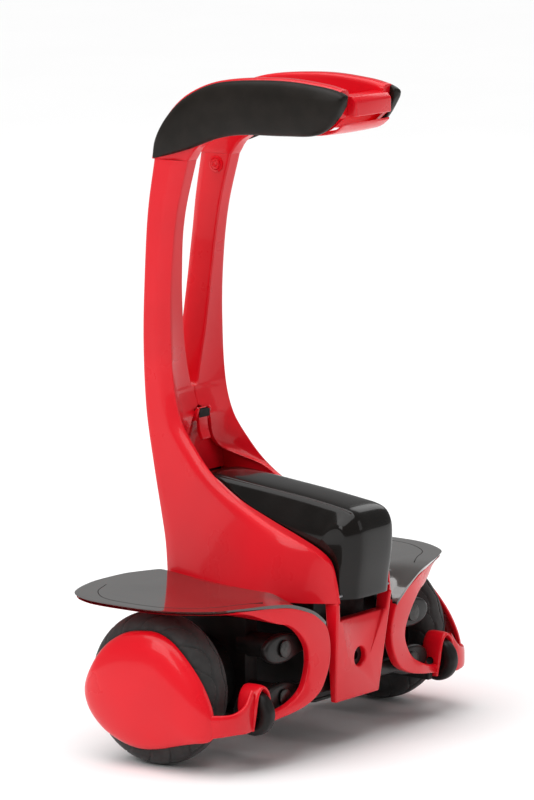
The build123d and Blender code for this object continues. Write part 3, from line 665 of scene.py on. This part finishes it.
class SCOOTER_OT_grips(bpy.types.Operator):
    """Model the crowned grip pads on the outer sides of the handle"""
    bl_idname = "scooter.grips"
    bl_label = "Grip pads"

    def execute(self, context):
        grip = context.scene.scooter_grip
        tops = smooth([(116, 590), (112.5, 610), (96.5, 634.5), (70.5, 656), (30, 671.5),
                       (-40, 677.5), (-92, 675.5), (-126, 669.5)], 56)
        unders = smooth([(114, 588.8), (71, 601.5), (33, 615.5), (0, 621.5), (-50, 623.5),
                         (-88, 626), (-108, 636), (-122, 655)], 56)
        arm_side, power, rings = 45.8, 2 / grip.squareness, []
        for i, (top, under) in enumerate(zip(tops, unders)):
            t = i / 55
            out = grip.crown * reading([(0, 0.42), (0.03, 0.52), (0.12, 0.8), (0.3, 1), (0.85, 1),
                                        (0.94, 0.82), (0.985, 0.6), (1, 0.45)], t)
            near = reading([(0, arm_side), (0.86, arm_side), (0.97, 41), (1, 40)], t)
            middle, half = (top + under) / 2, (top - under) / 2
            close = reading([(0, 0.9), (0.02, 1), (0.96, 1), (0.99, 0.8), (1, 0.6)], t)
            ring = []
            for k in range(27):
                a = math.pi * k / 26
                h = math.copysign(abs(math.cos(a)) ** power, math.cos(a)) * close
                x = near + (arm_side + out - near) * (math.sin(a) ** power if 0 < k < 26 else 0)
                ring.append((x, *(middle + half * h)))
            for k in range(1, 6):
                ring.append((near - 0.5, *(middle + half * close * (k / 3 - 1))))
            rings.append(ring)
        for side, s in SIDES:
            pad = loft(f"{side}_grip", rings, s)
            modify(pad, "SUBSURF", levels=1, render_levels=1)
            hand_over(pad, "centre", grip_foam(), [f"{side}_grip_pad"], 60)
        return {"FINISHED"}


class SCOOTER_OT_button(bpy.types.Operator):
    """Model the ringed power button and its raised bezel"""
    bl_idname = "scooter.button"
    bl_label = "Power button"

    def execute(self, context):
        low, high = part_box("power_button")
        centre = (low + high) / 2 / MM
        face, back = low.x / MM - centre.x, high.x / MM - centre.x
        profile = [(face + 0.5, 0), (face + 0.3, 1.2), (face + 0.1, 2.2), (face + 0.7, 2.7),
                   (face + 0.7, 3.2), (face + 0.1, 3.7), (face, 4.6), (face + 0.25, 5.3),
                   (face + 0.9, 5.75), (back, 5.75), (back, 0)]
        button = turned("ringed_button", profile, centre, 48)
        hand_over(button, "button", painted_abs(), ["power_button"])
        low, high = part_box("button_bezel")
        out, wall = low.x / MM - centre.x, high.x / MM - centre.x
        profile = [(wall, 5.95), (out + 0.5, 5.95), (out, 6.5), (out, 7.6), (out + 0.5, 8.5),
                   (wall, 8.8)]
        bezel = turned("button_ring", profile, centre, 48)
        hand_over(bezel, "centre", painted_abs(), ["button_bezel"])
        return {"FINISHED"}


class SCOOTER_OT_niche(bpy.types.Operator):
    """Model the latch niche in the neck: its back panel, the red lever, and a black sheet painted as the
    shade of the latch slot
    """
    bl_idname = "scooter.niche"
    bl_label = "Latch niche"

    def execute(self, context):
        outline = [(105, 346), (101, 346), (100, 300), (91, 262), (95, 260), (104, 298)]
        back = slab("niche_back", outline, "X", -43.5, 43.5, 1.0)
        ears = [slab(f"niche_ear_{k}", [(86.4, 318), (86.4, 327), (89, 329), (102, 331),
                                        (102, 312), (90, 315)], "X", x, x + 2.2, 0.6)
                for k, x in enumerate((-11, 8.8))]
        panel = join([back, *ears], "niche_panel_skin")
        hand_over(panel, "centre", painted_abs(), ["niche_panel"])
        # Painted shade: a flat black sheet stands in for the shadow inside the latch slot.
        slot_shade = slab("latch_insert", [(86.6, 318.5), (86.6, 326), (88, 326.6), (88.2, 318)], "X", -8.6, 8.6,
                    0.6)
        hand_over(slot_shade, "latch", dark_gap())
        axle = turned("latch_axle", [(-10.5, 0), (-10.5, 1.6), (10.5, 1.6), (10.5, 0)],
                      (0, LATCH_Y, LATCH_Z), 24)
        hand_over(axle, "centre", ground_steel(), ["latch_pin"])
        outline = smooth([(90, 327.5), (92.3, 328), (93.4, 325), (92.6, 316), (91.5, 304), (88.5, 297),
                          (84.5, 295), (84.5, 298), (87.2, 305), (88.6, 315), (89, 323)], 48, closed=True)
        lever = slab("latch_paddle", outline, "X", -7, 7, 1.2)
        hand_over(lever, "latch", painted_abs(), ["latch_lever"])
        return {"FINISHED"}


# ------------------------------------------------------------------ battery cover
class SCOOTER_OT_cover(bpy.types.Operator):
    """Model the gloss black battery cover, crowned across and rounded at its rear corners"""
    bl_idname = "scooter.cover"
    bl_label = "Battery cover"

    def execute(self, context):
        spine = smooth([(79, 232), (79, 248), (76, 260.5), (66, 266), (50, 267), (20, 264.5),
                        (-52, 257), (-98, 250.8), (-114, 247.5), (-124, 242.5), (-130, 233),
                        (-132.2, 220), (-131.5, 198), (-128, 172), (-126.5, 156)], 90)
        foot = even([(52, 221), (-102, 155), (-111, 155)], 90)
        rings = []
        for i, point in enumerate(spine):
            core = Vector((min(max(point.x, -92), 52), min(point.y, 206) + max(point.x - 52, 0) * 0.96))
            inward = (core - point).normalized()
            fall = reading([(-132, 0.42), (-122, 0.55), (-90, 1), (40, 1), (79, 0.8)], point.x)
            ring = []
            for x, depth in ((0, 0), (9, 0.15), (17, 0.6), (23, 1.5), (26.3, 2.7), (28.4, 4.6),
                             (30.4, 8), (33.3, 13.5), (36.2, 19), (38.4, 23.8), (39.8, 27.5),
                             (40.7, 31.5), (41, 36)):
                ring.append((x, *(point + inward * depth * fall)))
            ring.append((41, foot[i].x, foot[i].y))
            rings.append([(-x, y, z) for x, y, z in reversed(ring[1:])] + ring)
        deselect()
        across, along = len(rings[0]), len(rings)
        bpy.ops.mesh.primitive_grid_add(x_subdivisions=across - 1, y_subdivisions=along - 1, size=2)
        cover = named("battery_hood")
        for vertex in cover.data.vertices:
            i = round((vertex.co.x + 1) / 2 * (across - 1))
            k = round((vertex.co.y + 1) / 2 * (along - 1))
            vertex.co = Vector(rings[k][i]) * MM
        in_edit(merge, face_out)
        modify(cover, "SOLIDIFY", thickness=3 * MM, offset=-1, use_even_offset=False)
        roll_edges(cover, 0.8, 2, 60)
        hand_over(cover, "hatch", piano_abs(), ["battery_cover"], 32)
        return {"FINISHED"}


# ------------------------------------------------------------------ tub, panels and power
class SCOOTER_OT_tub(bpy.types.Operator):
    """Model the painted front and rear panels, the tub between them, the belly plate, the mast stay and the
    battery and controller cases
    """
    bl_idname = "scooter.tub"
    bl_label = "Panels and tub"

    def execute(self, context):
        for name, cad, edge, finish, slot in (
                ("rear_apron", "rear_panel", 2.2, painted_abs, "red_gloss"),
                ("front_apron", "front_panel", 2.2, painted_abs, "red_gloss"),
                ("tub", "chassis", 1.5, coated_casting, "black_casting"),
                ("belly_plate", "belly_pan", 1.2, coated_casting, "black_casting"),
                ("mast_stay", "mast_bracket", 1.0, coated_casting, "black_casting"),
                ("battery_can", "battery_pack", 2.5, anodised_case, "battery_case"),
                ("controller_can", "motor_controller", 2.0, anodised_case, "battery_case")):
            piece = softened(name, cad, edge, 3)
            hand_over(piece, "centre", finish(), [cad])
        return {"FINISHED"}


# ------------------------------------------------------------------ lean linkage
def lobe_outline(reach, height):
    """Rear view of a cross link with a leaf-shaped lobe at each end."""
    half = [(0, height + 14), (16, height + 11.5), (38, height + 8.5), (reach - 32, height + 8.6),
            (reach - 22, height + 11), (reach - 10, height + 14.2), (reach + 4, height + 15),
            (reach + 18, height + 12.5), (reach + 27, height + 7), (reach + 30, height)]
    low = [(x, 2 * height - z) for x, z in reversed(half[:-1])]
    right = half + low
    left = [(-x, z) for x, z in reversed(right[1:-1])]
    return smooth(right + left, 120, closed=True)


class SCOOTER_OT_linkage(bpy.types.Operator):
    """Model the four cross links with their leaf-shaped ends"""
    bl_idname = "scooter.linkage"
    bl_label = "Lean linkage"

    def execute(self, context):
        for level in ("upper", "lower"):
            for end in ("rear", "front"):
                low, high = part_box(f"{level}_link_{end}")
                height = (low.z + high.z) / 2 / MM
                link = slab(f"{level}_{end}_leaf", lobe_outline(112, height), "Y", low.y / MM,
                            high.y / MM, 3.2, 4)
                hand_over(link, f"{level}_link", black_nylon(),
                          [f"{level}_link_{end}"])
        return {"FINISHED"}


class SCOOTER_OT_side_frames(bpy.types.Operator):
    """Model the side frames, motor housings, link pins and caster arms"""
    bl_idname = "scooter.side_frames"
    bl_label = "Side frames"

    def execute(self, context):
        for side, _ in SIDES:
            for name, cad, edge, finish, slot in (
                    ("frame", "side_member", 1.6, coated_casting, "black_casting"),
                    ("motor_can", "motor_housing", 2.0, coated_casting, "black_casting"),
                    ("pin_set", "link_pins", 0.9, ground_steel, "steel"),
                    ("caster_arm", "caster_bracket", 1.5, coated_casting, "black_casting")):
                piece = softened(f"{side}_{name}", f"{side}_{cad}", edge, 3)
                hand_over(piece, f"{side}_side", finish(), [f"{side}_{cad}"])
        return {"FINISHED"}


# ------------------------------------------------------------------ foot plates
# (out, forward) of a foot plate's inner edge and rim, and (out, drop) of its rolled-down corner.
plate_inner = [(64, 106), (54, 100), (60, 66), (67, 36), (82, -34), (84.5, -70), (79, -88),
               (70, -99), (62, -107)]
plate_rim = [(64, 107), (80, 114), (101, 119), (152, 117.5), (202, 99), (226, 65), (231, 18),
             (227, -29), (203, -70), (172, -88), (132, -103), (98, -110.5), (78, -113), (62, -113)]
curl_fall = [(62, 28), (71.5, 20.5), (82, 14), (95, 8.5), (115, 2.5), (136, 0.4), (145, 0)]


def sheet_height(x, y):
    """Top of a foot plate: flat, but rolled down at its inner rear corner."""
    near = min(max((-58 - y) / 42, 0), 1)
    return PLATE_TOP - near * near * (3 - 2 * near) * reading(curl_fall, x)


def sheet(name, s, inset, top, deep):
    """Loft a sheet between the plate's inner edge and its rim, from front to rear."""
    near, rim = smooth(plate_inner, 72), smooth(plate_rim, 72)
    rings = []
    for a, b in zip(near, rim):
        line = []
        for k in range(25):
            u = k / 24
            p = a.lerp(b, inset / max((b - a).length, 2 * inset + 1) * (1 - 2 * u) + u)
            line.append((p.x, p.y))
        ring = [(x, y, top(x, y)) for x, y in line]
        ring += [(x, y, top(x, y) - deep(x)) for x, y in reversed(line)]
        rings.append(ring)
    return loft(name, rings, s)


class SCOOTER_OT_foot_plates(bpy.types.Operator):
    """Model the smoked foot plates with their inset groove, and the red trays below them"""
    bl_idname = "scooter.foot_plates"
    bl_label = "Foot plates"

    def execute(self, context):
        for side, s in SIDES:
            body = f"{side}_side"
            plate = sheet(f"{side}_deck", s, 0, sheet_height, lambda x: 3.6)
            roll_edges(plate, 1.3, 3, 50)
            hand_over(plate, body, smoked_acrylic(), [f"{side}_foot_plate"], 30)
            rim = smooth([(x - 17 * (x > 160), y * 0.83) for x, y in plate_rim[3:11]], 90)
            rings = []
            for i, point in enumerate(rim):
                run = (rim[min(i + 1, 89)] - rim[max(i - 1, 0)]).normalized()
                out = Vector((-run.y, run.x)) * 0.5
                proud, sunk = PLATE_TOP + 0.07, PLATE_TOP - 0.4
                rings.append([(*(point + out), proud), (*(point - out), proud),
                              (*(point - out), sunk), (*(point + out), sunk)])
            groove = loft(f"{side}_deck_groove", rings, s)
            hand_over(groove, body, dark_gap())
            depth = [(62, 8), (70, 12), (84, 16), (122, 17), (138, 13), (164, 3), (232, 1.2)]
            tray = sheet(f"{side}_deck_tray", s, 2.5, lambda x, y: sheet_height(x, y) - 3.7,
                         lambda x: reading(depth, x))
            roll_edges(tray, 0.8, 2, 50)
            hand_over(tray, body, painted_abs(), [f"{side}_plate_tray"], 30)
        return {"FINISHED"}


# ------------------------------------------------------------------ pod rings
# (out, forward, height) of a band's two rear edges, from the plate's rim to the caster.
ring_outer = [(188, -79, 163), (165, -89, 162), (138, -99.5, 160.6), (114, -107, 158.8),
              (93.5, -111, 152.8), (80, -112.6, 147.6), (69.8, -113, 141.8), (61.7, -113, 134.8),
              (55.5, -113, 123), (53, -113, 108), (54.5, -113, 93), (60, -113, 80), (70, -113, 67),
              (89, -113, 58), (111, -112, 53), (136, -108, 49), (151, -104, 46)]
ring_inner = [(188, -77, 161.5), (165, -87, 158.6), (138, -97.5, 151.5), (122, -103.5, 144.5),
              (104, -108, 134), (89, -109.5, 117), (84, -108.5, 100), (88, -109, 85), (98, -110, 72),
              (118, -110, 62.5), (137, -107, 57.5), (151, -103, 55.5)]


class SCOOTER_OT_rings(bpy.types.Operator):
    """Model the leaning red bands that run round the linkage openings"""
    bl_idname = "scooter.rings"
    bl_label = "Pod rings"

    def execute(self, context):
        outer, inner = smooth(ring_outer, 60), smooth(ring_inner, 60)
        rings = []
        for i, (far, near) in enumerate(zip(outer, inner)):
            thick = Vector((0, reading([(0, 3), (0.15, 7), (0.35, 10), (0.9, 10), (1, 8)], i / 59), 0))
            corners = [far, near, near + 0.8 * thick, far + thick]
            ring = []
            for k, corner in enumerate(corners):
                before, after = corners[k - 1], corners[(k + 1) % 4]
                cut = min(2.2, (corner - before).length * 0.4, (corner - after).length * 0.4)
                start = corner + (before - corner).normalized() * cut
                stop = corner + (after - corner).normalized() * cut
                ring += [start.lerp(corner, u).lerp(corner.lerp(stop, u), u)
                         for u in (0, 0.25, 0.5, 0.75, 1)]
            rings.append(ring)
        for side, s in SIDES:
            band = loft(f"{side}_band", rings, s)
            hand_over(band, f"{side}_side", painted_abs(), [f"{side}_ring"], 50)
        return {"FINISHED"}


# ------------------------------------------------------------------ wheel covers
# (forward, height above the axle) round the bulged cover's rim.
dome_rim = [(0, 61.5), (23, 57), (45, 44), (63, 23), (74, -3), (69, -25), (52, -43), (30, -54),
            (6, -59), (-17, -57), (-40, -51), (-62, -45.5), (-79, -42), (-87.5, -35), (-88, -26),
            (-86.5, -13), (-82, 0), (-73, 16), (-61, 31), (-48, 44), (-34, 55), (-17, 61.5)]


class SCOOTER_OT_wheel_covers(bpy.types.Operator):
    """Model the bulged wheel covers, the strips that run back from them and the caster arches"""
    bl_idname = "scooter.wheel_covers"
    bl_label = "Wheel covers"

    def execute(self, context):
        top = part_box("right_wheel_cover")[1].x / MM
        base = top - DOME_DEPTH
        outline = smooth(dome_rim, 96, closed=True)

        def level(x, share):
            return [(x, y * share, AXLE_HEIGHT + z * share) for y, z in outline]

        dome_rings = [level(max(base + 15 * math.sqrt(1 - u**2) - 2, base + 0.2), u)
                      for u in (0.06, 0.5, 0.9)] + [level(base + 0.05, 0.955)]
        for k in range(17):
            a = math.radians(88 * k / 16)
            dome_rings.append(level(base + 0.4 + (top - base - 0.4) * math.sin(a) ** 0.9,
                                    math.cos(a) ** 0.72))
        # The strip leaves the dome's tail and runs in behind the wheel to the caster arch.
        path = smooth([(base + 6, -58, 51.5), (base + 6.6, -72, 52), (base, -88, 53),
                       (base - 14, -99, 54), (base - 29, -103, 57), (174, -102.5, 64)], 26)
        strip_rings = []
        for i, point in enumerate(path):
            run = (path[min(i + 1, 25)] - path[max(i - 1, 0)]).normalized()
            out = Vector((run.y, -run.x, 0)).normalized() * (-2.9)
            rise = Vector((0, 0, reading([(0, 13.5), (0.4, 11.5), (0.65, 11), (0.85, 15), (1, 21)],
                                         i / 25)))
            strip_rings.append([point + out * c + rise * h for c, h in squared_oval(20, 0.6, 0.5)])
        arch = smooth([(172.2, 43), (172.2, 58), (171.6, 70), (168.2, 80.5), (160.6, 86.2),
                       (153, 80.5), (149.6, 70), (149, 58), (149, 43)], 44)
        arch_rings = []
        for i, point in enumerate(arch):
            run = (arch[min(i + 1, 43)] - arch[max(i - 1, 0)]).normalized()
            out = Vector((-run.y, run.x)) * 2.4
            deep = reading([(0, 12), (0.5, 12), (1, 8)], abs(i / 43 - 0.5) * 2)
            ring = []
            for c, h in squared_oval(20, 0.7, 0.8):
                edge = point + out * c
                ring.append((edge.x, CASTER_Y + deep * h, edge.y))
            arch_rings.append(ring)
        for side, s in SIDES:
            dome = loft(f"{side}_dome", dome_rings, s)
            strip = loft(f"{side}_strip", strip_rings, s)
            fork = loft(f"{side}_arch", arch_rings, s)
            cover = join([dome, strip, fork], f"{side}_wheel_shell")
            hand_over(cover, f"{side}_side", painted_abs(), [f"{side}_wheel_cover"], 50)
        return {"FINISHED"}


# ------------------------------------------------------------------ wheels
class SCOOTER_OT_wheels(bpy.types.Operator):
    """Model the tyres with sweeping tread grooves"""
    bl_idname = "scooter.wheels"
    bl_label = "Wheels"

    def execute(self, context):
        tread = context.scene.scooter_tread
        for side, s in SIDES:
            centre = (s * WHEEL_X, 0, AXLE_HEIGHT)
            arc = smooth([(-20.6, 52.1), (-22, 56), (-22.5, 61), (-21.6, 66), (-19.4, 70.2),
                          (-14.5, 74.2), (-7.5, 77), (0, 78), (7.5, 77), (14.5, 74.2),
                          (19.4, 70.2), (21.6, 66), (22.5, 61), (22, 56), (20.6, 52.1)], 60)
            profile = [(p.x, p.y) for p in arc]
            tyre = turned(f"{side}_treaded_tyre", profile, centre, 448)
            for vertex in tyre.data.vertices:
                x = vertex.co.x / MM - centre[0]
                y, z = vertex.co.y / MM, vertex.co.z / MM - AXLE_HEIGHT
                radius = math.hypot(y, z)
                if radius < 60:
                    continue
                sweep = math.atan2(z, y) / math.tau * tread.lugs
                reach = abs(x) / 22
                half = 0.5 if x > 0 else 0
                place = (sweep + half + 0.75 * reach**1.6) % 1
                groove = abs(place - 0.5) * 490 / tread.lugs
                band = abs(abs(x) - (7.5 + 1.6 * math.sin(math.tau * (sweep + half))))
                depth = 0
                if reach > 0.34 and groove < 1.9:
                    depth = tread.depth * (1 - (groove / 1.9) ** 4)
                if band < 1.3:
                    depth = max(depth, tread.depth * 0.8 * (1 - (band / 1.3) ** 4))
                if depth:
                    sink = (radius - depth) / radius
                    vertex.co.y, vertex.co.z = y * sink * MM, (AXLE_HEIGHT + z * sink) * MM
            hand_over(tyre, f"{side}_wheel", tyre_rubber(), [f"{side}_tyre"], 40)
        return {"FINISHED"}


class SCOOTER_OT_casters(bpy.types.Operator):
    """Model the caster wheels with their rounded tread and dished core"""
    bl_idname = "scooter.casters"
    bl_label = "Casters"

    def execute(self, context):
        for side, s in SIDES:
            centre = (s * CASTER_X, CASTER_Y, CASTER_HEIGHT)
            profile = smooth([(-6.6, 11.1), (-7.4, 13), (-7.5, 17), (-6.6, 20.4), (-4, 22.6),
                              (0, 23.1), (4, 22.6), (6.6, 20.4), (7.5, 17), (7.4, 13),
                              (6.6, 11.1)], 40)
            tyre = turned(f"{side}_caster_tread", profile, centre, 72)
            hand_over(tyre, f"{side}_caster", caster_rubber(),
                      [f"{side}_caster_tyre"])
            profile = [(-7, 4.1), (-7, 5.4), (-5.6, 6.2), (-5.4, 9.2), (-6.6, 10.2), (-6.6, 11),
                       (6.6, 11), (6.6, 10.2), (5.4, 9.2), (5.6, 6.2), (7, 5.4), (7, 4.1)]
            hub = turned(f"{side}_caster_core", profile, centre, 48)
            hand_over(hub, f"{side}_caster", black_nylon(),
                      [f"{side}_caster_hub"])
        return {"FINISHED"}


class SCOOTER_OT_finishes(bpy.types.Operator):
    """Give the machined solids that stay in view their finishes"""
    bl_idname = "scooter.finishes"
    bl_label = "Finishes of machined parts"

    def execute(self, context):
        chosen = {
            "charging_socket": black_nylon, "control_board": solder_mask,
            "cover_hinge_pin": bright_steel, "latch_pin": bright_steel,
            "upper_pivot_shaft": bright_steel, "lower_pivot_shaft": bright_steel,
            "rim": coated_casting, "hub_cap": black_nylon, "caster_pin": ground_steel,
        }
        for name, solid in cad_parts.items():
            finish = chosen.get(name) or chosen.get(name.split("_", 1)[-1]) or coated_casting
            solid.data.materials.clear()
            solid.data.materials.append(finish())
        return {"FINISHED"}


# ------------------------------------------------------------------ stage
class SCOOTER_OT_stage(bpy.types.Operator):
    """Lay the floor, hang the soft lights and set up the camera"""
    bl_idname = "scooter.stage"
    bl_label = "Stage"

    def execute(self, context):
        stage = context.scene.scooter_stage
        deselect()
        bpy.ops.mesh.primitive_plane_add(size=40, location=(0, 0, 0))
        floor = named("floor")
        in_edit(lambda: bpy.ops.mesh.subdivide(number_cuts=3))
        floor.data.materials.append(surface("matt_paper", ("#F9F9F9", stage.floor, 400),
                                            Roughness=0.9))
        world = bpy.data.worlds.new("soft_room")
        world.use_nodes = True
        room = world.node_tree.nodes["Background"]
        room.inputs["Color"].default_value = linear("#FFFFFF")
        # The room is dimmer than its walls look, so that the lacquer keeps its depth.
        seen = node(world, "ShaderNodeLightPath")
        span = node(world, "ShaderNodeMapRange", {"Value": seen.outputs["Is Camera Ray"]},
                    {"To Min": stage.room, "To Max": 1.0})
        world.node_tree.links.new(span.outputs["Result"], room.inputs["Strength"])
        context.scene.world = world
        for name, place, size, power in (
                ("key_softbox", (-3.2, 0.6, 2.2), 1.8, stage.key_power),
                ("top_softbox", (0.3, 0.4, 3.4), 2.4, stage.key_power * 0.3),
                ("rear_fill", (1.2, -3.4, 1.6), 2.0, stage.key_power * 0.35),
                ("front_fill", (3.6, 0.6, 2.6), 1.8, stage.key_power * 0.5)):
            bpy.ops.object.light_add(type="AREA", location=place)
            light = named(name)
            light.data.size = size
            light.data.energy = power
            light.rotation_euler = (Vector((0, 0, 0.35)) - Vector(place)).to_track_quat(
                "-Z", "Y").to_euler()
        bpy.ops.object.light_add(type="SUN", location=(0, 0, 4))
        ceiling = named("ceiling")
        ceiling.data.angle = math.radians(70)
        ceiling.data.energy = stage.ceiling
        ceiling.rotation_euler = (math.radians(-8), math.radians(-10), 0)
        camera = bpy.data.objects.new("camera", bpy.data.cameras.new("camera"))
        context.scene.collection.objects.link(camera)
        camera.location = (-4.2686, -3.1528, 1.2160)
        heading, pitch = math.radians(53.49), math.radians(9.33)
        look = Vector((math.sin(heading) * math.cos(pitch), math.cos(heading) * math.cos(pitch),
                       -math.sin(pitch)))
        camera.rotation_euler = look.to_track_quat("-Z", "Y").to_euler()
        camera.data.lens = stage.lens
        camera.data.sensor_width = 36
        camera.data.clip_end = 100
        context.scene.camera = camera
        context.scene.view_settings.view_transform = "Standard"
        return {"FINISHED"}


class SCOOTER_PT_panel(bpy.types.Panel):
    """Sizes, colours and steps of the scooter"""
    bl_idname = "SCOOTER_PT_panel"
    bl_label = "Balancing scooter"
    bl_space_type = "VIEW_3D"
    bl_region_type = "UI"
    bl_category = "Scooter"

    def draw(self, context):
        scene = context.scene
        for group in (scene.scooter_body, scene.scooter_grip, scene.scooter_tread,
                      scene.scooter_stage):
            box = self.layout.box()
            for key in group.__annotations__:
                box.prop(group, key)
        for step in STEPS:
            self.layout.operator(step.bl_idname)


GROUPS = {"scooter_body": ScooterBody, "scooter_grip": ScooterGrip, "scooter_tread": ScooterTread,
          "scooter_stage": ScooterStage}
STEPS = (SCOOTER_OT_stage, SCOOTER_OT_finishes, SCOOTER_OT_column, SCOOTER_OT_handle,
         SCOOTER_OT_grips, SCOOTER_OT_button, SCOOTER_OT_niche, SCOOTER_OT_cover, SCOOTER_OT_tub,
         SCOOTER_OT_linkage, SCOOTER_OT_side_frames, SCOOTER_OT_foot_plates, SCOOTER_OT_rings,
         SCOOTER_OT_wheel_covers, SCOOTER_OT_wheels, SCOOTER_OT_casters)


def register():
    for group in GROUPS.values():
        bpy.utils.register_class(group)
    for step in STEPS:
        bpy.utils.register_class(step)
    bpy.utils.register_class(SCOOTER_PT_panel)
    for name, group in GROUPS.items():
        setattr(bpy.types.Scene, name, bpy.props.PointerProperty(type=group))


def unregister():
    for name in GROUPS:
        delattr(bpy.types.Scene, name)
    bpy.utils.unregister_class(SCOOTER_PT_panel)
    for step in reversed(STEPS):
        bpy.utils.unregister_class(step)
    for group in reversed(list(GROUPS.values())):
        bpy.utils.unregister_class(group)


def main():
    register()
    for step in STEPS:
        area, name = step.bl_idname.split(".")
        getattr(getattr(bpy.ops, area), name)()


if __name__ == "__main__":
    main()
